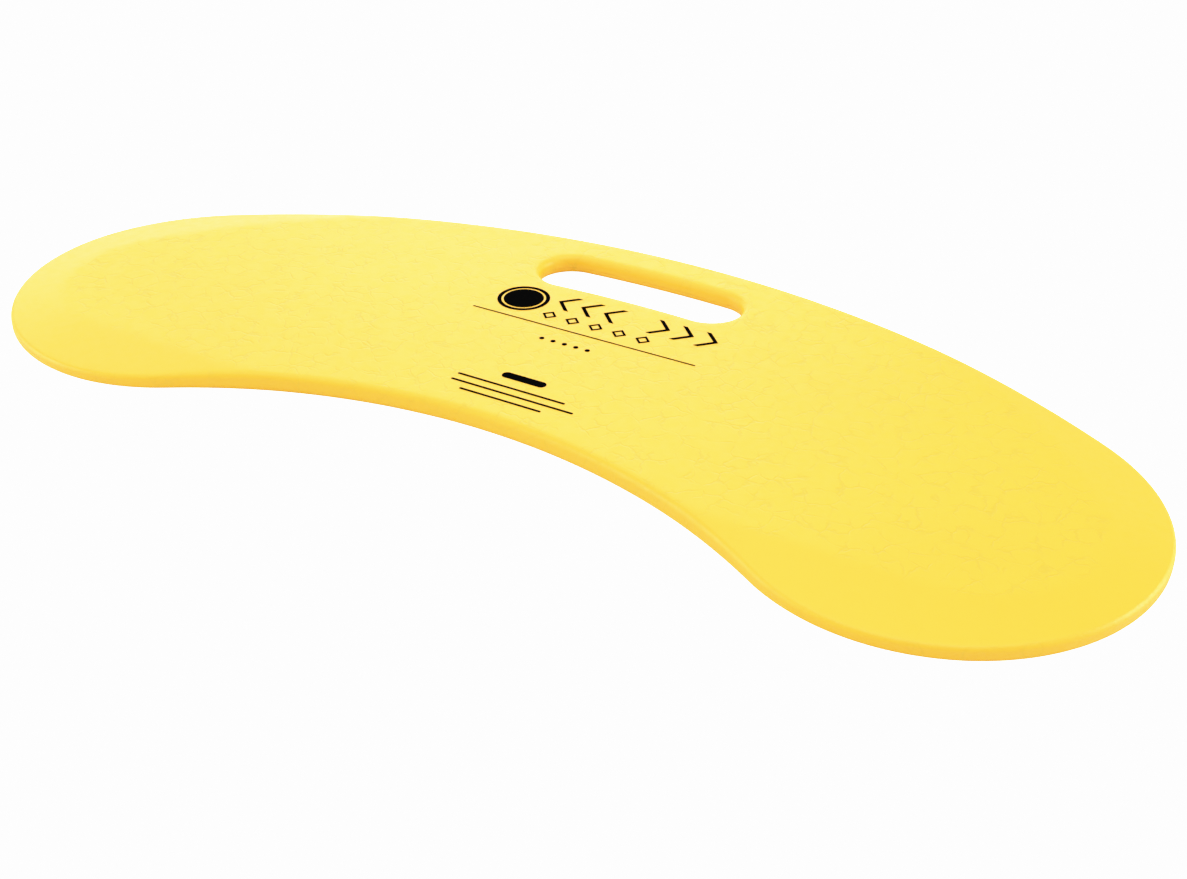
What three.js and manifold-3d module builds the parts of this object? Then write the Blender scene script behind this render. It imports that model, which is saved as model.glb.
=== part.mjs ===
// A curved transfer board: a kidney-shaped sliding board with a hand slot along its convex side.
// It is a sandwich panel, a plywood core closed inside two moulded plastic skins, with rubber grip
// pads let into the underside and flat printed marks on top.
//
// Millimetres, Z up. X runs along the board, and +Y is the convex side. The origin is the middle
// of the board's footprint, on the surface that the board rests on.

import * as THREE from "three";
import { mergeVertices } from "three/addons/utils/BufferGeometryUtils.js";
import Module from "manifold-3d";

// Plan of the board: four arcs that meet tangentially.
const LENGTH = 700;
const BACK_RADIUS = 574; // the convex long edge
const LOBE_RADIUS = 112; // each rounded end
const WAIST_RADIUS = 347; // the concave long edge

// Section of the board.
const THICKNESS = 12;
const SKIN = 1.5; // wall of each moulded skin
const SEAM_HEIGHT = 4.6; // the skins meet this far above the underside
const LOWER_EDGE_SHARE = 0.37; // radius of the lower edge, as a share of the local thickness
const UPPER_EDGE_SHARE = 0.34; // radius of the upper edge, likewise
const EDGE_STEPS = 3; // facets in each rounded edge
const FIT_GAP = 0.3; // clearance round a piece that lies in a hollow

// The top is level over a plateau and slopes down towards both ends.
const PLATEAU_RADIUS = 374; // far side of the plateau
const PLATEAU_CORNER = 65; // rounded near corners of the plateau
const PLATEAU_MARGIN = 42; // from the front of a lobe to the straight near side of the plateau
const PLATEAU_TIP = 29; // from the tip of a lobe to the plateau
const SLOPE = 0.11; // fall of the bevel, per millimetre away from the plateau
const CREASE = 8; // width over which the plateau bends into the bevel
const BEVEL_INSETS = [6, 12, 20, 28, 37, 50]; // rings of vertices across the bevel

// Hand slot: a stadium bent along a shallow arc.
const SLOT_FROM_BACK = 46.6; // from its centre line to the middle of the convex edge
const SLOT_HALF_LENGTH = 48.4; // between the centres of its round ends, halved
const SLOT_HALF_WIDTH = 19.3;
const SLOT_BEND = 700; // radius of its centre line
const SLOT_EDGE = 4.8; // rounding of its upper and lower rims

// Grip pads, spaced along the centre line of the board.
const PADS_PER_SIDE = 3;
const PAD_STEP = THREE.MathUtils.degToRad(12.4);
const PAD_LENGTH = 62;
const PAD_WIDTH = 26;
const PAD_THICKNESS = 1.5;
const PAD_PROUD = 0.8; // how far a pad stands below the underside
const PAD_CHAMFER = 0.3;

// Printed marks. Chevrons point both ways along the board, beside a round badge. A rule runs
// below them, and small dots and bars fill the rest of the layout.
const INK = 0.12; // thickness of the ink film
const BADGE = { x: -53.4, y: 48.9, radius: 16, lineWidth: 2.4, discRadius: 12.2 };
const CHEVRONS = { x: 20.5, y: 56, perSide: 3, innermost: 16.5, pitch: 15.5 };
const CHEVRON = { height: 18, reach: 8.6, stroke: 3 };
const DIAMONDS = { count: 5, x: 3, y: 37.8, pitch: 15.7, radius: 4.8, stroke: 1.3 };
const DOTS = { count: 5, x: -2, y: 10.8, pitch: 7.6, radius: 1.5 };
const BARS = [
  { name: "mark_rule", x: 0, y: 25.6, length: 149, width: 0.9 },
  { name: "mark_bold_bar", x: 0, y: -35.8, length: 28, width: 6 },
  { name: "mark_fine_bar_1", x: -1.5, y: -47.3, length: 69, width: 1.5 },
  { name: "mark_fine_bar_2", x: 3, y: -54, length: 78, width: 1.5 },
  { name: "mark_fine_bar_3", x: 0, y: -60.8, length: 52, width: 1.5 },
];

// Places that follow from the values above.
const UNDERSIDE = PAD_PROUD;
const TOP = UNDERSIDE + THICKNESS;
const LOBE_X = LENGTH / 2 - LOBE_RADIUS;
const BACK_TO_LOBE = Math.sqrt((BACK_RADIUS - LOBE_RADIUS) ** 2 - LOBE_X ** 2);
const WAIST_TO_LOBE = Math.sqrt((WAIST_RADIUS + LOBE_RADIUS) ** 2 - LOBE_X ** 2);
const DEPTH = BACK_RADIUS - BACK_TO_LOBE + LOBE_RADIUS;
const BACK_Y = DEPTH / 2;
const FRONT_Y = -DEPTH / 2;
const LOBE_Y = FRONT_Y + LOBE_RADIUS;
const BACK_CENTRE_Y = BACK_Y - BACK_RADIUS;
const WAIST_CENTRE_Y = LOBE_Y - WAIST_TO_LOBE;
const CORNER_X = LENGTH / 2 - PLATEAU_TIP - PLATEAU_CORNER;
const CORNER_Y = FRONT_Y + PLATEAU_MARGIN + PLATEAU_CORNER;
const CENTRE_LINE_RADIUS = BACK_RADIUS - LOBE_RADIUS;
const PLATEAU_CENTRE_Y =
  CORNER_Y - Math.sqrt((PLATEAU_RADIUS - PLATEAU_CORNER) ** 2 - CORNER_X ** 2);

const wasm = await Module();
wasm.setup();

// ---------------------------------------------------------------- outlines

// Points along one arc, without its last point, each with the normal that points into the shape.
function arcSamples(centreX, centreY, radius, from, to, count) {
  const inward = to > from ? -1 : 1;
  return Array.from({ length: count }, (_, i) => {
    const angle = from + ((to - from) * i) / count;
    const cos = Math.cos(angle);
    const sin = Math.sin(angle);
    return {
      x: centreX + radius * cos,
      y: centreY + radius * sin,
      inX: inward * cos,
      inY: inward * sin,
    };
  });
}

// The outline of the board, anticlockwise from the right-hand end of its convex edge.
function boardSamples() {
  const back = Math.atan2(BACK_TO_LOBE, LOBE_X);
  const waist = Math.atan2(WAIST_TO_LOBE, LOBE_X);
  const half = Math.PI;
  return [
    ...arcSamples(0, BACK_CENTRE_Y, BACK_RADIUS, back, half - back, 28),
    ...arcSamples(-LOBE_X, LOBE_Y, LOBE_RADIUS, half - back, 2 * half - waist, 30),
    ...arcSamples(0, WAIST_CENTRE_Y, WAIST_RADIUS, half - waist, waist, 24),
    ...arcSamples(LOBE_X, LOBE_Y, LOBE_RADIUS, half + waist, 2 * half + back, 30),
  ];
}

// The outline of the hand slot, anticlockwise, for a slot of the given half width.
function slotOutline(halfWidth) {
  const centreY = BACK_Y - SLOT_FROM_BACK - SLOT_BEND;
  const reach = SLOT_HALF_LENGTH / SLOT_BEND;
  const right = Math.PI / 2 - reach;
  const left = Math.PI / 2 + reach;
  const end = (angle, from) =>
    arcSamples(
      SLOT_BEND * Math.cos(angle),
      centreY + SLOT_BEND * Math.sin(angle),
      halfWidth,
      from,
      from + Math.PI,
      10,
    );
  return [
    ...arcSamples(0, centreY, SLOT_BEND + halfWidth, right, left, 6),
    ...end(left, left),
    ...arcSamples(0, centreY, SLOT_BEND - halfWidth, left, right, 6),
    ...end(right, right - Math.PI),
  ];
}

// A straight bar with round ends, centred on the origin.
function stadium(length, width) {
  const radius = width / 2;
  const straight = length / 2 - radius;
  return new THREE.Shape()
    .absarc(straight, 0, radius, -Math.PI / 2, Math.PI / 2)
    .absarc(-straight, 0, radius, Math.PI / 2, (3 * Math.PI) / 2);
}

function disc(radius) {
  return new THREE.Shape().absarc(0, 0, radius, 0, 2 * Math.PI);
}

function ring(radius, lineWidth) {
  const shape = disc(radius);
  shape.holes.push(new THREE.Path().absarc(0, 0, radius - lineWidth, 0, 2 * Math.PI, true));
  return shape;
}

// A chevron centred on the origin that points along `direction`, 1 for +X or -1 for -X.
function chevron({ height, reach, stroke }, direction) {
  const back = -direction * (reach / 2);
  const tip = -back;
  const lead = direction * (stroke / 2);
  const side = direction * (height / 2);
  return polygon([
    [back - lead, -side],
    [back + lead, -side],
    [tip + lead, 0],
    [back + lead, side],
    [back - lead, side],
    [tip - lead, 0],
  ]);
}

// A square stood on its corner, drawn as a line.
function diamond(radius, stroke) {
  const corners = (r) => [
    [r, 0],
    [0, r],
    [-r, 0],
    [0, -r],
  ];
  const shape = polygon(corners(radius));
  shape.holes.push(polygon(corners(radius - stroke * Math.SQRT2).reverse()));
  return shape;
}

function polygon(corners) {
  return new THREE.Shape(corners.map(([x, y]) => new THREE.Vector2(x, y)));
}

// ---------------------------------------------------------------- height of the top

// How far a place lies outside the level plateau; negative inside it.
function beyondPlateau(x, y) {
  const side = Math.abs(x);
  if (side < CORNER_X && y < CORNER_Y) return CORNER_Y - PLATEAU_CORNER - y;
  const ahead = y - PLATEAU_CENTRE_Y;
  const behindCorner = ahead * CORNER_X > side * (CORNER_Y - PLATEAU_CENTRE_Y);
  return behindCorner
    ? Math.hypot(side, ahead) - PLATEAU_RADIUS
    : Math.hypot(side - CORNER_X, y - CORNER_Y) - PLATEAU_CORNER;
}

// Thickness of the board before its edges are rounded. A bevel that starts `early` lies lower.
function thicknessAt(x, y, early = 0) {
  const beyond = beyondPlateau(x, y) + early;
  if (beyond > CREASE / 2) return THICKNESS - SLOPE * beyond;
  const intoCrease = Math.max(beyond + CREASE / 2, 0);
  return THICKNESS - (SLOPE * intoCrease ** 2) / (2 * CREASE);
}

// ---------------------------------------------------------------- solids

// A closed solid from rings of equal length, anticlockwise from above, lowest first.
function loft(rings) {
  const count = rings[0].length;
  const index = [];
  for (let level = 0; level + 1 < rings.length; level++) {
    for (let i = 0; i < count; i++) {
      const a = level * count + i;
      const b = level * count + ((i + 1) % count);
      index.push(a, b, b + count, a, b + count, a + count);
    }
  }
  const addCap = (points, first, facesUp) => {
    const contour = points.map(([x, y]) => new THREE.Vector2(x, y));
    for (const [a, b, c] of THREE.ShapeUtils.triangulateShape(contour, [])) {
      const corners = facesUp ? [a, b, c] : [a, c, b];
      index.push(...corners.map((corner) => first + corner));
    }
  };
  addCap(rings[0], 0, false);
  addCap(rings.at(-1), (rings.length - 1) * count, true);
  const geometry = new THREE.BufferGeometry();
  geometry.setAttribute("position", new THREE.Float32BufferAttribute(rings.flat(2), 3));
  return geometry.setIndex(index);
}

// A quarter round of radius one, from the face to the wall, as pairs of the distance from the
// wall and the distance from the face.
function quarterRound() {
  return Array.from({ length: EDGE_STEPS + 1 }, (_, i) => {
    const angle = ((Math.PI / 2) * i) / EDGE_STEPS;
    return [1 - Math.sin(angle), 1 - Math.cos(angle)];
  });
}

// The board's body, `shell` inside its outer surface all round, with a further `gap` at the rim
// and under the bevel.
function boardBody(shell, gap = 0) {
  const samples = boardSamples();
  const heightAt = (x, y) => thicknessAt(x, y, gap / SLOPE) - 2 * shell;
  const ringAt = (insetOf, level) =>
    samples.map((sample) => {
      const inset = shell + gap + insetOf(sample);
      const x = sample.x + sample.inX * inset;
      const y = sample.y + sample.inY * inset;
      return [x, y, UNDERSIDE + shell + level * heightAt(x, y)];
    });
  const rimRing = (share, level) => ringAt((s) => share * heightAt(s.x, s.y), level);
  const lowerEdge = quarterRound().map(([inward, up]) =>
    rimRing(LOWER_EDGE_SHARE * inward, LOWER_EDGE_SHARE * up),
  );
  const upperEdge = quarterRound().map(([inward, down]) =>
    rimRing(UPPER_EDGE_SHARE * inward, 1 - UPPER_EDGE_SHARE * down),
  );
  const bevel = BEVEL_INSETS.map((inset) => ringAt(() => inset, 1));
  return loft([...lowerEdge, ...upperEdge.reverse(), ...bevel]);
}

// The space of the hand slot, with rounded rims, in a body `shell` inside the outer surface.
function slotSpace(shell, gap = 0) {
  const bottom = UNDERSIDE + shell;
  const top = TOP - shell;
  const edge = SLOT_EDGE - shell;
  const ringAt = (widening, z) =>
    slotOutline(SLOT_HALF_WIDTH + shell + gap + widening).map(({ x, y }) => [x, y, z]);
  const lowerRim = quarterRound().map(([outward, up]) => ringAt(edge * outward, bottom + edge * up));
  const upperRim = quarterRound().map(([outward, down]) => ringAt(edge * outward, top - edge * down));
  return loft([
    ringAt(edge, bottom - THICKNESS),
    ...lowerRim,
    ...upperRim.reverse(),
    ringAt(edge, top + THICKNESS),
  ]);
}

// A slab wider than the board that fills the space between two heights.
function slab(low, high) {
  return new THREE.BoxGeometry(2 * LENGTH, 2 * LENGTH, high - low).translate(0, 0, (low + high) / 2);
}

// Turns a closed geometry into a solid that can be cut and joined.
function solid(geometry) {
  const bare = geometry.clone().deleteAttribute("normal").deleteAttribute("uv");
  const merged = mergeVertices(bare);
  return new wasm.Manifold(
    new wasm.Mesh({
      numProp: 3,
      vertProperties: merged.attributes.position.array,
      triVerts: new Uint32Array(merged.index.array),
    }),
  );
}

function geometryOf(body) {
  const mesh = body.getMesh();
  const geometry = new THREE.BufferGeometry();
  geometry.setAttribute("position", new THREE.BufferAttribute(mesh.vertProperties, 3));
  geometry.setIndex(new THREE.BufferAttribute(mesh.triVerts, 1));
  geometry.computeVertexNormals();
  return geometry;
}

// A grip pad's outline grown by `margin`, as a slab between two heights, in the pad's place.
function padSlab(index, margin, low, high, chamfer = 0) {
  const angle = (index - PADS_PER_SIDE + 0.5) * PAD_STEP;
  return new THREE.ExtrudeGeometry(stadium(PAD_LENGTH + 2 * margin, PAD_WIDTH + 2 * margin), {
    depth: high - low - 2 * chamfer,
    curveSegments: 10,
    bevelEnabled: chamfer > 0,
    bevelThickness: chamfer,
    bevelSize: chamfer,
    bevelOffset: -chamfer,
    bevelSegments: 1,
  })
    .translate(0, 0, low + chamfer)
    .rotateZ(-angle)
    .translate(
      CENTRE_LINE_RADIUS * Math.sin(angle),
      BACK_CENTRE_Y + CENTRE_LINE_RADIUS * Math.cos(angle),
      0,
    );
}

// ---------------------------------------------------------------- pieces

// The plywood core, beveled like the board, with a clear hole round the hand slot.
function corePanel() {
  return geometryOf(solid(boardBody(SKIN, FIT_GAP)).subtract(solid(slotSpace(SKIN, FIT_GAP))));
}

// Both skins as one hollow body: the outside of the board less the space of the core.
function hollowBoard() {
  const inside = solid(boardBody(SKIN)).subtract(solid(slotSpace(SKIN)));
  return solid(boardBody(0)).subtract(solid(slotSpace(0))).subtract(inside);
}

function upperSkin() {
  return geometryOf(hollowBoard().intersect(solid(slab(UNDERSIDE + SEAM_HEIGHT, 2 * TOP))));
}

// The lower skin has a shallow pocket for each grip pad.
function lowerSkin() {
  let skin = hollowBoard().intersect(solid(slab(-TOP, UNDERSIDE + SEAM_HEIGHT)));
  for (let i = 0; i < 2 * PADS_PER_SIDE; i++) {
    skin = skin.subtract(solid(padSlab(i, FIT_GAP, -PAD_THICKNESS, PAD_THICKNESS)));
  }
  return geometryOf(skin);
}

// An ink film in the given outline, lying on the top.
function film(shape, x, y) {
  return new THREE.ExtrudeGeometry(shape, {
    depth: INK,
    curveSegments: 16,
    bevelEnabled: false,
  }).translate(x, y, TOP);
}

// Where the i-th mark of an evenly spaced row stands.
function inRow({ x, count, pitch }, i) {
  return x + (i - (count - 1) / 2) * pitch;
}

// ---------------------------------------------------------------- materials

const skinPlastic = new THREE.MeshStandardMaterial({ color: 0xfae564, roughness: 0.5 });
const plywood = new THREE.MeshStandardMaterial({ color: 0xc9a26b, roughness: 0.8 });
const gripRubber = new THREE.MeshStandardMaterial({ color: 0x35373a, roughness: 0.9 });
const ink = new THREE.MeshStandardMaterial({ color: 0x111111, roughness: 0.6 });

// ---------------------------------------------------------------- the board

const board = new THREE.Group();
board.name = "transfer_board";

function add(name, geometry, material) {
  const mesh = new THREE.Mesh(geometry, material);
  mesh.name = name;
  board.add(mesh);
}

add("core_panel", corePanel(), plywood);
add("lower_skin", lowerSkin(), skinPlastic);
add("upper_skin", upperSkin(), skinPlastic);

for (let i = 0; i < 2 * PADS_PER_SIDE; i++) {
  add(`grip_pad_${i + 1}`, padSlab(i, 0, 0, PAD_THICKNESS, PAD_CHAMFER), gripRubber);
}

add("mark_badge_ring", film(ring(BADGE.radius, BADGE.lineWidth), BADGE.x, BADGE.y), ink);
add("mark_badge_disc", film(disc(BADGE.discRadius), BADGE.x, BADGE.y), ink);
for (let i = 0; i < 2 * CHEVRONS.perSide; i++) {
  const direction = i < CHEVRONS.perSide ? -1 : 1;
  const rank = direction < 0 ? CHEVRONS.perSide - 1 - i : i - CHEVRONS.perSide;
  const x = CHEVRONS.x + direction * (CHEVRONS.innermost + rank * CHEVRONS.pitch);
  add(`mark_chevron_${i + 1}`, film(chevron(CHEVRON, direction), x, CHEVRONS.y), ink);
}
for (let i = 0; i < DIAMONDS.count; i++) {
  const shape = diamond(DIAMONDS.radius, DIAMONDS.stroke);
  add(`mark_diamond_${i + 1}`, film(shape, inRow(DIAMONDS, i), DIAMONDS.y), ink);
}
for (let i = 0; i < DOTS.count; i++) {
  add(`mark_dot_${i + 1}`, film(disc(DOTS.radius), inRow(DOTS, i), DOTS.y), ink);
}
for (const { name, x, y, length, width } of BARS) {
  add(name, film(stadium(length, width), x, y), ink);
}

export default board;
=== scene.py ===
import math

import bmesh
import bpy
import numpy as np
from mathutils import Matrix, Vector, geometry, noise


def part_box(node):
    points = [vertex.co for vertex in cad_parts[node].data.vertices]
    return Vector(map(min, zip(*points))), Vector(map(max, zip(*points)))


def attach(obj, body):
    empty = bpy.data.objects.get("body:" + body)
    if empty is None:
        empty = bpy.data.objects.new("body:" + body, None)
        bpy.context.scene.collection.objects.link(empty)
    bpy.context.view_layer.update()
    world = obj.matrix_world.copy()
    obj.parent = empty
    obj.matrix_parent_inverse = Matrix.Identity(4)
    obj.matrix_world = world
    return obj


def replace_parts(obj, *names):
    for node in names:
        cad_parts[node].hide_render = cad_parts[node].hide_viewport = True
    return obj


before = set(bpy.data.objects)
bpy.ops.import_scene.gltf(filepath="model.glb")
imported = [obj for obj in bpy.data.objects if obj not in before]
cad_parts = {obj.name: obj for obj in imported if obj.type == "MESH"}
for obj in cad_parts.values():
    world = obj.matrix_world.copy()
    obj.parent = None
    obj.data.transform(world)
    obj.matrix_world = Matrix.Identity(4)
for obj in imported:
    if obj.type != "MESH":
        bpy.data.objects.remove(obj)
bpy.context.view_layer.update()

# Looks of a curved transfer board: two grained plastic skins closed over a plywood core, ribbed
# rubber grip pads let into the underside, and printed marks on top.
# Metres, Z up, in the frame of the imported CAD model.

MM = 0.001

# Plan of the board: four arcs that meet tangentially.
LENGTH = 700 * MM
BACK_RADIUS = 574 * MM
LOBE_RADIUS = 112 * MM
WAIST_RADIUS = 347 * MM

# Section. The CAD skins give the heights. An edge's radius is a share of the local thickness.
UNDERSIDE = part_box("lower_skin")[0].z
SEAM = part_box("upper_skin")[0].z
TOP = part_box("upper_skin")[1].z
THICKNESS = TOP - UNDERSIDE
SKIN = 1.5 * MM
LOWER_EDGE_SHARE = 0.37
UPPER_EDGE_SHARE = 0.34

# The level plateau on top, and the bevel that falls away from it towards both ends.
PLATEAU_RADIUS = 374 * MM
PLATEAU_CORNER = 65 * MM
PLATEAU_MARGIN = 42 * MM
PLATEAU_TIP = 29 * MM
SLOPE = 0.11
CREASE = 8 * MM  # width of the soft fold between the plateau and the bevel

# Hand slot.
SLOT_FROM_BACK = 46.6 * MM
SLOT_HALF_LENGTH = 48.4 * MM
SLOT_HALF_WIDTH = 19.3 * MM
SLOT_BEND = 700 * MM
SLOT_EDGE = 4.8 * MM

# Grip pads: the CAD gives their places.
PAD_LENGTH = 62 * MM
PAD_WIDTH = 26 * MM
PAD_GAP = 0.3 * MM  # clearance in the pocket
PAD_DRAFT = 0.2 * MM  # slope of the pocket's wall
PAD_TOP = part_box("grip_pad_1")[1].z
PAD_CHAMFER = 0.3 * MM
PAD_END = 0.6 * MM  # the loft stops this far short of the tip of each round end
PAD_RIB = 2.0 * MM
PAD_GROOVE = 1.5 * MM
PAD_GROOVE_DEPTH = 0.5 * MM
PAD_RIB_PROFILE = ((0.0, 0), (0.55, 0), (0.65, 1), (0.9, 1))  # (share of the pitch, depth)

# Fineness of the meshes.
OUTLINE_STEP = 2.5 * MM
FIELD_STEP = 2.4 * MM
HIDDEN_STEP = 9 * MM  # inside faces, which nothing sees
EDGE_STEPS = 7
LATTICE_CLEARANCE = 0.8  # gap between an outline and the lattice inside it, in steps
CONVEX_HULL = 0  # the triangulation's output type: all triangles within the hull
SAME_POINT = 1e-7  # points nearer than this are one
SHARP_ANGLE = math.radians(38)

# The moulded faces sink in soft dips: how deep, how wide, and how much each width counts.
RELIEF = 0.07 * MM
BROAD_DIP, BROAD_SHARE = 34 * MM, 0.35
FINE_DIP, FINE_SHARE = 9 * MM, 0.3
FINE_OFFSET = Vector((7, 3, 1))  # keeps the two widths of dips apart

# How upright a normal is on a face, and where a face has turned fully into a rim.
FACE_NORMAL, RIM_NORMAL = 0.98, 0.9

# Places that follow from the values above.
LOBE_X = LENGTH / 2 - LOBE_RADIUS
BACK_TO_LOBE = math.sqrt((BACK_RADIUS - LOBE_RADIUS) ** 2 - LOBE_X**2)
WAIST_TO_LOBE = math.sqrt((WAIST_RADIUS + LOBE_RADIUS) ** 2 - LOBE_X**2)
BACK_Y = (BACK_RADIUS - BACK_TO_LOBE + LOBE_RADIUS) / 2
FRONT_Y = -BACK_Y
LOBE_Y = FRONT_Y + LOBE_RADIUS
BACK_CENTRE = Vector((0, BACK_Y - BACK_RADIUS))
WAIST_CENTRE = Vector((0, LOBE_Y - WAIST_TO_LOBE))
CORNER_X = LENGTH / 2 - PLATEAU_TIP - PLATEAU_CORNER
CORNER_Y = FRONT_Y + PLATEAU_MARGIN + PLATEAU_CORNER
PLATEAU_CENTRE_Y = CORNER_Y - math.sqrt((PLATEAU_RADIUS - PLATEAU_CORNER) ** 2 - CORNER_X**2)


# ---------------------------------------------------------------- outlines

def arc(centre, radius, start, end, step=OUTLINE_STEP):
    """Points along an arc without its last one, and the directions out from its centre."""
    fewest = 4
    count = max(fewest, math.ceil(abs(end - start) * radius / step))
    angle = start + (end - start) * np.arange(count) / count
    out = np.column_stack((np.cos(angle), np.sin(angle)))
    return np.array(centre[:2]) + radius * out, out


def join(*pieces):
    """Joins (points, outward directions) of arcs; a piece may be turned inside out by its sign."""
    points = np.vstack([p for (p, _), _ in pieces])
    outward = np.vstack([sign * o for (_, o), sign in pieces])
    return points, outward


def board_outline():
    """The board's outline, anticlockwise, with the directions that point out of the board."""
    back = math.atan2(BACK_TO_LOBE, LOBE_X)
    waist = math.atan2(WAIST_TO_LOBE, LOBE_X)
    left, right = (-LOBE_X, LOBE_Y), (LOBE_X, LOBE_Y)
    return join(
        (arc(BACK_CENTRE, BACK_RADIUS, back, math.pi - back), 1),
        (arc(left, LOBE_RADIUS, math.pi - back, 2 * math.pi - waist), 1),
        (arc(WAIST_CENTRE, WAIST_RADIUS, math.pi - waist, waist), -1),
        (arc(right, LOBE_RADIUS, math.pi + waist, 2 * math.pi + back), 1),
    )


def slot_outline():
    """The hand slot's outline, anticlockwise, with the directions that point into the slot."""
    centre = Vector((0, BACK_Y - SLOT_FROM_BACK - SLOT_BEND))
    reach = SLOT_HALF_LENGTH / SLOT_BEND
    right, left = math.pi / 2 - reach, math.pi / 2 + reach

    def end(angle, start):
        middle = centre + SLOT_BEND * Vector((math.cos(angle), math.sin(angle)))
        return arc(middle, SLOT_HALF_WIDTH, start, start + math.pi, OUTLINE_STEP / 2)

    return join(
        (arc(centre, SLOT_BEND + SLOT_HALF_WIDTH, right, left), -1),
        (end(left, left), -1),
        (arc(centre, SLOT_BEND - SLOT_HALF_WIDTH, left, right), 1),
        (end(right, right - math.pi), -1),
    )


def stadium_outline(length, width):
    """A straight bar with round ends, anticlockwise round the origin."""
    radius = width / 2
    straight = length / 2 - radius
    quarter = math.pi / 2
    return join(
        (arc((straight, 0), radius, -quarter, quarter), 1),
        (arc((-straight, 0), radius, quarter, 3 * quarter), 1),
    )


# ---------------------------------------------------------------- height of the top

def beyond_plateau(x, y):
    """How far each place lies outside the level plateau; negative inside it."""
    side = np.abs(x)
    ahead = y - PLATEAU_CENTRE_Y
    behind_corner = ahead * CORNER_X > side * (CORNER_Y - PLATEAU_CENTRE_Y)
    far = np.hypot(side, ahead) - PLATEAU_RADIUS
    corner = np.hypot(side - CORNER_X, y - CORNER_Y) - PLATEAU_CORNER
    near = CORNER_Y - PLATEAU_CORNER - y
    beyond = np.where(behind_corner, far, corner)
    return np.where((side < CORNER_X) & (y < CORNER_Y), near, beyond)


def bevel_share(x, y):
    """0 on the level plateau, 1 on the smooth bevels, and in between along the crease."""
    return np.clip(beyond_plateau(x, y) / CREASE + 0.5, 0, 1)


def thickness_at(x, y):
    """Thickness of the board before its edges are rounded."""
    beyond = beyond_plateau(x, y)
    into_crease = np.clip(beyond + CREASE / 2, 0, CREASE)
    drop = SLOPE * into_crease**2 / (2 * CREASE)
    return THICKNESS - drop - SLOPE * np.maximum(beyond - CREASE / 2, 0)


# ---------------------------------------------------------------- meshes

def make_object(name, vertices, faces, material):
    """A new smooth-shaded object in the scene."""
    mesh = bpy.data.meshes.new(name)
    mesh.from_pydata(vertices, [], faces)
    finish_mesh(mesh)
    mesh.materials.append(material)
    made = bpy.data.objects.new(name, mesh)
    bpy.context.scene.collection.objects.link(made)
    return made


def inside(points, polygon):
    """Which points lie inside a closed polygon."""
    found = np.zeros(len(points), bool)
    x, y = points[:, 0], points[:, 1]
    for (ax, ay), (bx, by) in zip(polygon, np.roll(polygon, -1, axis=0)):
        crosses = (ay > y) != (by > y)
        if ay != by:
            found ^= crosses & (x < ax + (y - ay) * (bx - ax) / (by - ay))
    return found


def clear_of(points, polygon, gap):
    """Which points keep a distance from every corner of a finely cut polygon."""
    keep = np.ones(len(points), bool)
    for corner in polygon:
        keep &= np.hypot(*(points - corner).T) > gap
    return keep


def lattice(outer, holes, step):
    """A triangular lattice of points inside `outer` and outside `holes`, clear of all of them."""
    low, high = outer.min(0), outer.max(0)
    clearance = LATTICE_CLEARANCE * step
    rows = []
    for row, y in enumerate(np.arange(low[1], high[1], step * math.sqrt(3) / 2)):
        x = np.arange(low[0] + (row % 2) * step / 2, high[0], step)
        rows.append(np.column_stack((x, np.full(len(x), y))))
    points = np.vstack(rows)
    points = points[inside(points, outer)]
    points = points[clear_of(points, outer, clearance)]
    for hole in holes:
        points = points[~inside(points, hole)]
        points = points[clear_of(points, hole, clearance)]
    return points


def fill(loops, hole_count, points):
    """Triangles between closed loops and loose points, as indices into all of them in order.
    The first loop is the outer one, the next `hole_count` are holes, the rest are creases."""
    edges, first = [], 0
    for loop in loops:
        count = len(loop)
        edges += [(first + i, first + (i + 1) % count) for i in range(count)]
        first += count
    everything = np.vstack([*loops, points])
    corners = [Vector(point) for point in everything]
    made = geometry.delaunay_2d_cdt(corners, edges, [], CONVEX_HULL, SAME_POINT)
    triangles = np.array([face for face in made[2] if len(face) == 3])
    middles = everything[triangles].mean(axis=1)
    wanted = inside(middles, loops[0])
    for hole in loops[1 : 1 + hole_count]:
        wanted &= ~inside(middles, hole)
    return triangles[wanted]


def unevenness(points):
    """How far the moulded face sinks at each point: soft shallow dips, deepest RELIEF."""
    def dip(point):
        broad = noise.noise(Vector(point) / BROAD_DIP)
        fine = noise.noise(Vector(point) / FINE_DIP + FINE_OFFSET)
        return RELIEF * (0.5 + BROAD_SHARE * broad + FINE_SHARE * fine)

    return np.clip([dip(point) for point in points], 0, RELIEF)


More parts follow.
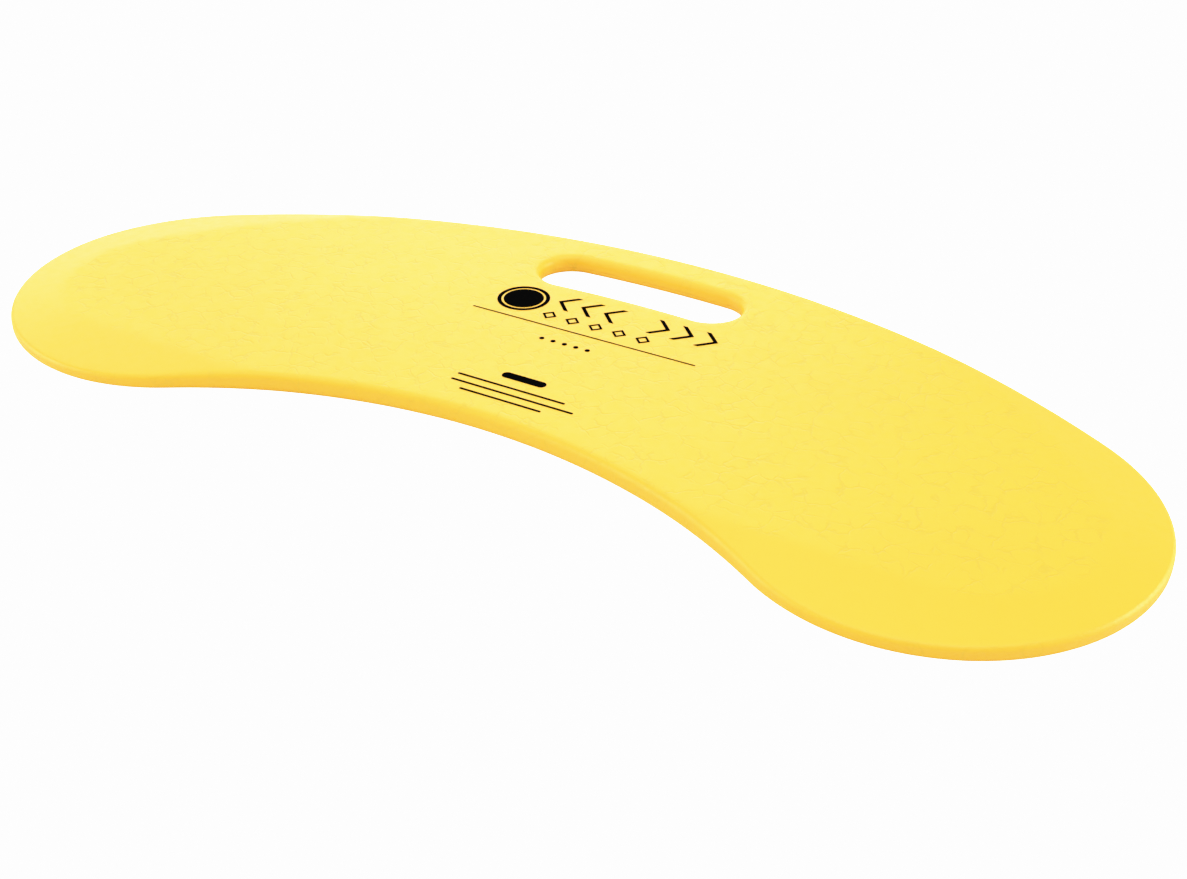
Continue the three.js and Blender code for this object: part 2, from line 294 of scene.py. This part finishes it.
class Sheet:
    """One face of a skin: rings over both rims, from the seam to the field, and the field, which
    is triangulated and may have pockets. `up` is 1 for the upper skin and -1 for the lower one.
    `shell` is the depth below the board's outer surface."""

    def __init__(self, up, shell, step, pockets=()):
        self.up, self.shell = up, shell
        self.vertices, self.faces = [], []
        outline, out = board_outline()
        slot, into_slot = slot_outline()
        share = UPPER_EDGE_SHARE if up > 0 else LOWER_EDGE_SHARE
        edge_radius = share * thickness_at(*outline.T) - shell
        slot_radius = np.full(len(slot), SLOT_EDGE - shell)
        self.seams = []
        border = self.add_rim(outline, out, edge_radius)
        hole = self.add_rim(slot, into_slot, slot_radius)
        self.add_field(border, hole, step, pockets)

    def face_height(self, plan):
        """Height of the sheet's level or bevelled face."""
        if self.up > 0:
            return UNDERSIDE + thickness_at(*plan.T) - self.shell
        return np.full(len(plan), UNDERSIDE + self.shell)

    def place(self, plan, heights, normals):
        """Adds vertices, sunk a little where the face is seen, and returns their indices."""
        points = np.column_stack((plan, heights))
        if self.shell == 0:
            points -= normals * unevenness(points)[:, None]
        first = len(self.vertices)
        self.vertices += [tuple(p) for p in points]
        return np.arange(first, len(self.vertices))

    def add_rim(self, outline, out, radius):
        """Rings from the seam over a quarter round. Returns the last ring's (plan, indices)."""
        rings = []
        angles = np.linspace(0, math.pi / 2, EDGE_STEPS + 1)
        for angle, at_seam in [(0, True), *((a, False) for a in angles)]:
            inset = self.shell + radius * (1 - math.cos(angle))
            plan = outline - out * inset[:, None]
            heights = self.face_height(plan) - self.up * radius * (1 - math.sin(angle))
            if at_seam:
                heights = np.full(len(plan), SEAM)
            lift = np.full(len(out), self.up * math.sin(angle))
            normals = np.column_stack((out * math.cos(angle), lift))
            rings.append(self.place(plan, heights, normals))
        for low, high in zip(rings, rings[1:]):
            self.faces += ring_faces(low, high)
        self.seams.append(rings[0])
        return plan, rings[-1]

    def add_field(self, border, hole, step, pockets):
        """Fills between the two rims. A pocket is (edge loop, floor loop, depth)."""
        edges = [edge for edge, _, _ in pockets]
        floors = [floor for _, floor, _ in pockets]
        sunk = [depth for _, _, depth in pockets]
        loose = [lattice(border[0], [hole[0], *edges], step)]
        loose += [lattice(floor, [], step) for floor in floors]
        level = [0] * len(edges)
        indices = [border[1], hole[1]]
        for plan, depth in zip([*edges, *floors, *loose], [*level, *sunk, 0, *sunk]):
            heights = self.face_height(plan) - self.up * depth
            normals = np.tile((0, 0, self.up), (len(plan), 1))
            indices.append(self.place(plan, heights, normals))
        loops = [border[0], hole[0], *edges, *floors]
        index = np.concatenate(indices)
        triangles = fill(loops, hole_count=1, points=np.vstack(loose))
        self.faces += index[triangles].tolist()


def ring_faces(low, high):
    """Quads between two closed rings of equal length."""
    return np.column_stack((low, np.roll(low, -1), np.roll(high, -1), high)).tolist()


def finish_mesh(mesh):
    """Turns every face outwards, shades smoothly and keeps true corners sharp."""
    work = bmesh.new()
    work.from_mesh(mesh)
    bmesh.ops.recalc_face_normals(work, faces=work.faces)
    for edge in work.edges:
        edge.smooth = edge.calc_face_angle(0) < SHARP_ANGLE
    for face in work.faces:
        face.smooth = True
    work.to_mesh(mesh)
    work.free()


def skin(name, up, material, pockets=()):
    """A hollow half of the board: the outer sheet, the sheet inside it, and the seam between."""
    outer = Sheet(up, 0, FIELD_STEP, pockets)
    inner = Sheet(up, SKIN, HIDDEN_STEP)
    first = len(outer.vertices)
    faces = outer.faces + [[first + i for i in face] for face in inner.faces]
    for outside, inside_loop in zip(outer.seams, inner.seams):
        faces += ring_faces(outside, inside_loop + first)
    piece = make_object(name, outer.vertices + inner.vertices, faces, material)
    mark_places(piece, up)
    return piece


def mark_places(piece, up):
    """Stores for the material which places of a skin are bevel, and which are rim or wall."""
    places = np.array([vertex.co.xy for vertex in piece.data.vertices])
    upright = np.array([abs(vertex.normal.z) for vertex in piece.data.vertices])
    face = np.clip((upright - RIM_NORMAL) / (FACE_NORMAL - RIM_NORMAL), 0, 1)
    bevel = face * bevel_share(*places.T) * (up > 0)
    for name, share in (("bevel", bevel), ("wall", 1 - face)):
        stored = piece.data.attributes.new(name, "FLOAT", "POINT")
        stored.data.foreach_set("value", share.astype(np.float32))


# ---------------------------------------------------------------- grip pads

def pad_place(index):
    """The angle and middle of a grip pad: the middle of its CAD solid."""
    low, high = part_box(f"grip_pad_{index}")
    middle = (low + high) / 2
    from_centre = middle.xy - BACK_CENTRE
    return math.atan2(from_centre.x, from_centre.y), middle


def in_pad_place(index, plan):
    """Turns and moves plan points from the origin to the place of a grip pad."""
    angle, middle = pad_place(index)
    turn = np.array(((math.cos(angle), math.sin(angle)), (-math.sin(angle), math.cos(angle))))
    return plan @ turn.T + np.array(middle.xy)


def pad_pocket(index):
    """The pocket in the lower skin round a grip pad, with a slightly sloping wall."""
    def loop(margin):
        outline, _ = stadium_outline(PAD_LENGTH + 2 * margin, PAD_WIDTH + 2 * margin)
        return in_pad_place(index, outline)

    return loop(PAD_GAP), loop(PAD_GAP - PAD_DRAFT), PAD_TOP - UNDERSIDE


def pad_stations():
    """Where along a grip pad its section changes, as (place, depth of groove from 0 to 1)."""
    reach = PAD_LENGTH / 2
    pitch = PAD_RIB + PAD_GROOVE
    count = int(2 * (reach - PAD_CHAMFER) / pitch)
    ribs = []
    for i in range(count):
        start = (i - count / 2) * pitch
        ribs += [(start + offset * pitch, depth) for offset, depth in PAD_RIB_PROFILE]
    return [(-reach + PAD_END, 0), *ribs, (reach - PAD_END, 0)]


def pad_section(x, depth):
    """The section across a grip pad at one station, as (place across, height)."""
    radius = PAD_WIDTH / 2
    over_end = max(abs(x) - (PAD_LENGTH / 2 - radius), 0)
    half = math.sqrt(radius**2 - over_end**2)
    low = depth * PAD_GROOVE_DEPTH
    return [
        (-half, PAD_TOP), (-half, low + PAD_CHAMFER), (-half + PAD_CHAMFER, low),
        (half - PAD_CHAMFER, low), (half, low + PAD_CHAMFER), (half, PAD_TOP),
    ]


def ribbed_pad(index, material):
    """A grip pad lofted along its length, with grooves across its lower face."""
    vertices, rings = [], []
    for x, depth in pad_stations():
        section = pad_section(x, depth)
        plan = in_pad_place(index, np.array([(x, across) for across, _ in section]))
        rings.append(np.arange(len(section)) + len(vertices))
        vertices += [(px, py, height) for (px, py), (_, height) in zip(plan, section)]
    faces = []
    for near, far in zip(rings, rings[1:]):
        faces += ring_faces(near, far)
    faces += [rings[0].tolist(), rings[-1].tolist()]
    return make_object(f"grip_pad_{index}_ribbed", vertices, faces, material)


# ---------------------------------------------------------------- materials

# Noise and cells are given in repeats per metre.
NOISE_SPAN = (0.3, 0.7)  # where most values of noise lie
WHITE = (1, 1, 1, 1)

# Warm yellow plastic. The grain's lines are a little greener and darker.
SKIN_COLOUR = (0.93, 0.512, 0.003, 1)
SKIN_COLOUR_LIGHT = (0.94, 0.524, 0.005, 1)
SKIN_COLOUR_LINE = (0.45, 0.43, 0.003, 1)
SKIN_PATCHES = 7.0  # of the lighter colour
SKIN_SHINE = 0.71
SKIN_GLOSS_PATCHES = 180.0
SKIN_ROUGHNESS = (0.42, 0.5)
BEVEL_POLISH = -0.06  # change of roughness on the bevels
LINE_TINT = 0.35  # how far a line takes on its own colour
LINE_ON_BEVEL, LINE_ON_WALL = 0.15, 0.5  # how strong the lines stay there
PEBBLES = 420.0
PEBBLE, PEBBLE_ON_BEVEL, PEBBLE_ON_WALL = 0.22, 0.03, 2.0  # heights, where a line's depth is 1
SKIN_RELIEF, SKIN_RELIEF_STRENGTH = 0.12 * MM, 0.8

# The crackled grain.
GRAIN_CELLS = 88.0
GRAIN_LINE_WIDTH = 0.085  # in cells
GRAIN_SWAYS = ((55.0, 12 * MM), (190.0, 4.5 * MM))  # (repeats, how far the lines sway)
GRAIN_BREAKS = 75.0
GRAIN_PRESENCE = (0.36, 0.62)  # lines are gone where this noise is lower, and full where higher

INK_COLOUR = (0.002, 0.002, 0.002, 1)
INK_COLOUR_WORN = (0.02, 0.018, 0.008, 1)
INK_SPECKLES = 900.0
INK_SPECKLE_SPAN = (0.62, 0.75)
INK_WEAR = 0.12
INK_GLOSS_PATCHES = 260.0
INK_ROUGHNESS = (0.5, 0.62)
INK_RELIEF, INK_RELIEF_STRENGTH = 0.1 * MM, 0.6

RUBBER_COLOUR = (0.028, 0.03, 0.032, 1)
RUBBER_COLOUR_BLOOM = (0.06, 0.062, 0.064, 1)
RUBBER_DUST = 60.0
RUBBER_DUST_SPAN = (0.4, 0.75)
RUBBER_STIPPLE = 2400.0
RUBBER_ROUGHNESS = (0.62, 0.85)
RUBBER_RELIEF, RUBBER_RELIEF_STRENGTH = 0.05 * MM, 0.7

WOOD_COLOUR = (0.66, 0.42, 0.2, 1)
WOOD_COLOUR_LIGHT = (0.8, 0.6, 0.36, 1)
WOOD_COLOUR_GLUE = (0.4, 0.22, 0.1, 1)
WOOD_FIBRES = 520.0
WOOD_STRETCH = (0.06, 1.0, 1.0)
WOOD_LAYERS = 110.0
WOOD_LAYER_SHADE = 0.35
WOOD_ROUGHNESS = (0.55, 0.75)
WOOD_RELIEF, WOOD_RELIEF_STRENGTH = 0.1 * MM, 0.5

FLOOR_COLOUR = (0.86, 0.86, 0.86, 1)
FLOOR_COLOUR_LIGHT = (0.88, 0.88, 0.88, 1)
FLOOR_PATCHES = 3.0
FLOOR_ROUGHNESS = 0.9
FLOOR_GLOW = 1.5


class Nodes:
    """Short hand for building a material's nodes."""

    def __init__(self, name):
        self.material = bpy.data.materials.new(name)
        self.material.use_nodes = True
        self.tree = self.material.node_tree
        self.shader = self.tree.nodes["Principled BSDF"]
        self.place = self.add("ShaderNodeTexCoord").outputs["Object"]

    def add(self, kind, settings=None, **inputs):
        """A new node. Input names are written with underscores for spaces."""
        made = self.tree.nodes.new(kind)
        for key, value in (settings or {}).items():
            setattr(made, key, value)
        for key, value in inputs.items():
            self.put(made.inputs[key.replace("_", " ")], value)
        return made

    def put(self, socket, value):
        """Links an output to an input, or sets the input to a plain value."""
        if isinstance(value, bpy.types.NodeSocket):
            self.tree.links.new(value, socket)
        else:
            socket.default_value = value

    def maths(self, operation, a, b=0.0, c=0.0):
        made = self.add("ShaderNodeMath", {"operation": operation})
        for socket, value in zip(made.inputs, (a, b, c)):
            self.put(socket, value)
        return made.outputs[0]

    def vectors(self, operation, a, b=None, scale=None):
        made = self.add("ShaderNodeVectorMath", {"operation": operation})
        for key, value in ((0, a), (1, b), ("Scale", scale)):
            if value is not None:
                self.put(made.inputs[key], value)
        return made.outputs[0]

    def noise(self, scale, detail=2.0, roughness=0.5, at=None, colour=False):
        made = self.add(
            "ShaderNodeTexNoise", Vector=at or self.place, Scale=scale, Detail=detail,
            Roughness=roughness,
        )
        return made.outputs["Color" if colour else "Fac"]

    def ramp(self, value, low, high, to_low=0.0, to_high=1.0):
        """Maps the span low..high of a value onto to_low..to_high, and clamps outside it."""
        made = self.add(
            "ShaderNodeMapRange", {"interpolation_type": "SMOOTHSTEP"}, Value=value,
            From_Min=low, From_Max=high, To_Min=to_low, To_Max=to_high,
        )
        return made.outputs["Result"]

    def mix(self, factor, a, b):
        """A mix of two colours. The node has other sockets of the same names for plain values."""
        made = self.add("ShaderNodeMix", {"data_type": "RGBA"})
        for key, value in zip((0, 6, 7), (factor, a, b)):
            self.put(made.inputs[key], value)
        return made.outputs[2]

    def bump(self, height, distance, strength):
        made = self.add("ShaderNodeBump", Height=height, Distance=distance, Strength=strength)
        return made.outputs["Normal"]

    def surface(self, **inputs):
        """Sets the shader's inputs and returns the finished material."""
        for key, value in inputs.items():
            self.put(self.shader.inputs[key.replace("_", " ")], value)
        return self.material


def attribute(nodes, name):
    """A value that mark_places stored on the mesh."""
    return nodes.add("ShaderNodeAttribute", {"attribute_name": name}).outputs["Fac"]


def crackle(nodes):
    """Wavy broken lines between cells about a centimetre wide, as in leather: 1 in a line."""
    at = nodes.place
    for scale, sway in GRAIN_SWAYS:
        wander = nodes.noise(scale, colour=True)
        centred = nodes.vectors("SUBTRACT", wander, (0.5, 0.5, 0.5))
        at = nodes.vectors("ADD", at, nodes.vectors("SCALE", centred, scale=sway))
    cells = nodes.add(
        "ShaderNodeTexVoronoi", {"feature": "DISTANCE_TO_EDGE"}, Vector=at, Scale=GRAIN_CELLS,
    )
    line = nodes.ramp(cells.outputs["Distance"], 0.0, GRAIN_LINE_WIDTH, 1.0, 0.0)
    presence = nodes.ramp(nodes.noise(GRAIN_BREAKS, detail=3.0), *GRAIN_PRESENCE)
    return nodes.maths("MULTIPLY", line, presence)


def skin_plastic():
    """Satin plastic, warm yellow. Its crackled grain is faint on the walls, which are pebbled,
    and all but gone on the bevels, which are smooth."""
    nodes = Nodes("skin_plastic")
    bevel, wall = attribute(nodes, "bevel"), attribute(nodes, "wall")
    lines_by_bevel = nodes.ramp(bevel, 0, 1, 1, LINE_ON_BEVEL)
    lines_by_wall = nodes.ramp(wall, 0, 1, 1, LINE_ON_WALL)
    faint = nodes.maths("MULTIPLY", lines_by_bevel, lines_by_wall)
    line = nodes.maths("MULTIPLY", crackle(nodes), faint)
    light = nodes.ramp(nodes.noise(SKIN_PATCHES, detail=3.0), *NOISE_SPAN)
    colour = nodes.mix(light, SKIN_COLOUR, SKIN_COLOUR_LIGHT)
    colour = nodes.mix(nodes.maths("MULTIPLY", line, LINE_TINT), colour, SKIN_COLOUR_LINE)
    pebbles_by_bevel = nodes.ramp(bevel, 0, 1, PEBBLE, PEBBLE_ON_BEVEL)
    pebbles_by_wall = nodes.ramp(wall, 0, 1, 0, PEBBLE_ON_WALL)
    pebbled = nodes.maths("ADD", pebbles_by_bevel, pebbles_by_wall)
    pebble = nodes.maths("MULTIPLY", nodes.noise(PEBBLES, detail=3.0, roughness=0.6), pebbled)
    gloss = nodes.noise(SKIN_GLOSS_PATCHES, detail=3.0)
    satin = nodes.ramp(gloss, *NOISE_SPAN, *SKIN_ROUGHNESS)
    height = nodes.maths("SUBTRACT", pebble, line)
    return nodes.surface(
        Base_Color=colour,
        Roughness=nodes.maths("MULTIPLY_ADD", bevel, BEVEL_POLISH, satin),
        Specular_IOR_Level=SKIN_SHINE,
        Normal=nodes.bump(height, SKIN_RELIEF, SKIN_RELIEF_STRENGTH),
    )


def printed_ink():
    """Matt black ink that the grain shows through."""
    nodes = Nodes("printed_ink")
    line = crackle(nodes)
    speckle = nodes.ramp(nodes.noise(INK_SPECKLES), *INK_SPECKLE_SPAN, 0.0, INK_WEAR)
    return nodes.surface(
        Base_Color=nodes.mix(speckle, INK_COLOUR, INK_COLOUR_WORN),
        Roughness=nodes.ramp(nodes.noise(INK_GLOSS_PATCHES), *NOISE_SPAN, *INK_ROUGHNESS),
        Specular_IOR_Level=0.0,
        Normal=nodes.bump(nodes.maths("MULTIPLY", line, -1.0), INK_RELIEF, INK_RELIEF_STRENGTH),
    )


def grip_rubber():
    """Dark moulded rubber with a dusty bloom."""
    nodes = Nodes("grip_rubber")
    dust = nodes.noise(RUBBER_DUST, detail=4.0, roughness=0.65)
    bloom = nodes.ramp(dust, *RUBBER_DUST_SPAN)
    return nodes.surface(
        Base_Color=nodes.mix(bloom, RUBBER_COLOUR, RUBBER_COLOUR_BLOOM),
        Roughness=nodes.ramp(bloom, 0, 1, *RUBBER_ROUGHNESS),
        Normal=nodes.bump(nodes.noise(RUBBER_STIPPLE), RUBBER_RELIEF, RUBBER_RELIEF_STRENGTH),
    )


def plywood():
    """Birch veneers in layers, with the grain along the board."""
    nodes = Nodes("birch_plywood")
    stretched = nodes.add("ShaderNodeMapping", Vector=nodes.place, Scale=WOOD_STRETCH)
    along = stretched.outputs["Vector"]
    grain = nodes.noise(WOOD_FIBRES, detail=5.0, roughness=0.6, at=along)
    layers = nodes.add(
        "ShaderNodeTexWave", {"bands_direction": "Z"}, Vector=nodes.place, Scale=WOOD_LAYERS,
        Distortion=0.4, Detail=1.0,
    )
    veneer = nodes.mix(grain, WOOD_COLOUR, WOOD_COLOUR_LIGHT)
    shade = nodes.maths("MULTIPLY", layers.outputs["Fac"], WOOD_LAYER_SHADE)
    return nodes.surface(
        Base_Color=nodes.mix(shade, veneer, WOOD_COLOUR_GLUE),
        Roughness=nodes.ramp(grain, 0, 1, *WOOD_ROUGHNESS),
        Normal=nodes.bump(grain, WOOD_RELIEF, WOOD_RELIEF_STRENGTH),
    )


def studio_floor():
    """White paper that glows to the camera only, as on a lit table, and so shows no shadow."""
    nodes = Nodes("studio_floor")
    tone = nodes.noise(FLOOR_PATCHES)
    seen = nodes.add("ShaderNodeLightPath").outputs["Is Camera Ray"]
    return nodes.surface(
        Base_Color=nodes.mix(tone, FLOOR_COLOUR, FLOOR_COLOUR_LIGHT),
        Roughness=FLOOR_ROUGHNESS,
        Emission_Color=WHITE,
        Emission_Strength=nodes.maths("MULTIPLY", seen, FLOOR_GLOW),
    )


# ---------------------------------------------------------------- studio

CAMERA_TARGET = Vector((54.1, -52.9, 0)) * MM
CAMERA_DISTANCE = 851.7 * MM
CAMERA_AZIMUTH = math.radians(30.02)
CAMERA_ELEVATION = math.radians(31.69)
CAMERA_LENS, PICTURE_WIDTH = 48.43, 36.0
CAMERA_NEAREST = 10 * MM

FLOOR_REACH = 6.0  # from its middle to each side
SURROUND = 0.89  # brightness of the white surround

# Softboxes: one overhead, and the rest low and round the board, as (azimuth, power).
# Angles are in degrees and powers in watts.
TOP_SOFTBOX_ELEVATION = 89.9  # just short of upright, so that its azimuth is defined
TOP_SOFTBOX_DISTANCE, TOP_SOFTBOX_SIZE, TOP_SOFTBOX_POWER = 2.6, 2.6, 28.5
LOW_SOFTBOX_ELEVATION = 16
LOW_SOFTBOX_DISTANCE, LOW_SOFTBOX_SIZE = 2.4, 1.2
LOW_SOFTBOXES = {
    "right_softbox": (60, 20.8),
    "front_left_softbox": (-120, 14.1),
    "back_left_softbox": (-30, 8.6),
    "left_softbox": (-60, 4.5),
}

# The camera's response. Lights up to SHOULDER are shown as they are, and brighter ones ease
# towards WHITEST. It is drawn as a curve over lights up to BRIGHTEST.
SHOULDER, SHOULDER_WIDTH = 0.85, 0.17
BRIGHTEST, WHITEST = 3.0, 0.983
SHOULDER_POINTS = 16
COMBINED_CURVE = 3  # the one that acts on all three colours, after those for each


def make_floor():
    half = FLOOR_REACH
    corners = [(-half, -half, 0), (half, -half, 0), (half, half, 0), (-half, half, 0)]
    mesh = bpy.data.meshes.new("floor")
    mesh.from_pydata(corners, [], [(0, 1, 2, 3)])
    mesh.materials.append(studio_floor())
    floor = bpy.data.objects.new("floor", mesh)
    bpy.context.scene.collection.objects.link(floor)


def make_camera():
    """The photograph's view: from in front of the concave edge, to the right and above."""
    data = bpy.data.cameras.new("camera")
    data.lens, data.sensor_width = CAMERA_LENS, PICTURE_WIDTH
    data.clip_start = CAMERA_NEAREST
    camera = bpy.data.objects.new("camera", data)
    back = Vector((
        math.sin(CAMERA_AZIMUTH) * math.cos(CAMERA_ELEVATION),
        -math.cos(CAMERA_AZIMUTH) * math.cos(CAMERA_ELEVATION),
        math.sin(CAMERA_ELEVATION),
    ))
    camera.location = CAMERA_TARGET + CAMERA_DISTANCE * back
    camera.rotation_euler = (math.pi / 2 - CAMERA_ELEVATION, 0, CAMERA_AZIMUTH)
    bpy.context.scene.collection.objects.link(camera)
    bpy.context.scene.camera = camera


def add_softbox(name, azimuth, elevation, distance, size, power):
    """A square area light that points at the board. Azimuth 0 is behind the convex edge, and 90
    is off the right-hand end."""
    data = bpy.data.lights.new(name, "AREA")
    data.shape, data.size, data.energy = "SQUARE", size, power
    light = bpy.data.objects.new(name, data)
    around, up = math.radians(azimuth), math.radians(elevation)
    ray = Vector((math.sin(around) * math.cos(up), math.cos(around) * math.cos(up), math.sin(up)))
    light.location = distance * ray
    light.rotation_euler = (-ray).to_track_quat("-Z", "Y").to_euler()
    bpy.context.scene.collection.objects.link(light)


def white_surround():
    """An even white light from all round, which the camera sees as bright as the floor."""
    world = bpy.data.worlds.new("studio")
    world.use_nodes = True
    nodes, links = world.node_tree.nodes, world.node_tree.links
    background = nodes["Background"]
    background.inputs["Color"].default_value = WHITE
    strength = nodes.new("ShaderNodeMix")
    strength.inputs["A"].default_value = SURROUND
    strength.inputs["B"].default_value = BRIGHTEST
    links.new(nodes.new("ShaderNodeLightPath").outputs["Is Camera Ray"], strength.inputs["Factor"])
    links.new(strength.outputs["Result"], background.inputs["Strength"])
    bpy.context.scene.world = world


def light_studio():
    """A bright high-key set: a white surround, a large softbox overhead and low ones around."""
    white_surround()
    add_softbox(
        "top_softbox", 0, TOP_SOFTBOX_ELEVATION, TOP_SOFTBOX_DISTANCE, TOP_SOFTBOX_SIZE,
        TOP_SOFTBOX_POWER,
    )
    for name, (azimuth, power) in LOW_SOFTBOXES.items():
        add_softbox(
            name, azimuth, LOW_SOFTBOX_ELEVATION, LOW_SOFTBOX_DISTANCE, LOW_SOFTBOX_SIZE, power,
        )


def shown(light):
    """How bright a light looks: linear up to SHOULDER, then easing towards WHITEST."""
    over = max(light - SHOULDER, 0)
    return min(light, SHOULDER) + (WHITEST - SHOULDER) * (1 - math.exp(-over / SHOULDER_WIDTH))


def set_exposure():
    """A plain view with the soft shoulder of a camera, as a curve over lights up to BRIGHTEST."""
    view = bpy.context.scene.view_settings
    view.view_transform = "Standard"
    view.use_curve_mapping = True
    view.curve_mapping.white_level = (BRIGHTEST,) * 3
    curve = view.curve_mapping.curves[COMBINED_CURVE]
    curve.points[-1].location = (1, shown(BRIGHTEST))
    for light in np.linspace(SHOULDER, BRIGHTEST, SHOULDER_POINTS, endpoint=False):
        curve.points.new(light / BRIGHTEST, shown(light))
    for point in curve.points:
        point.handle_type = "VECTOR"
    view.curve_mapping.update()


# ---------------------------------------------------------------- the board

plastic, rubber = skin_plastic(), grip_rubber()
ink, wood = printed_ink(), plywood()

upper = skin("upper_skin_moulded", 1, plastic)
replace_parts(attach(upper, "root"), "upper_skin")

pad_count = sum(name.startswith("grip_pad_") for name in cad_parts)
pad_numbers = range(1, pad_count + 1)
lower = skin("lower_skin_moulded", -1, plastic, [pad_pocket(index) for index in pad_numbers])
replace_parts(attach(lower, "root"), "lower_skin")

for index in pad_numbers:
    pad = ribbed_pad(index, rubber)
    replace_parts(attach(pad, "root"), f"grip_pad_{index}")

for name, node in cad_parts.items():
    if name.startswith("mark_") or name == "core_panel":
        node.data.materials.clear()
        node.data.materials.append(wood if name == "core_panel" else ink)

make_floor()
make_camera()
light_studio()
set_exposure()
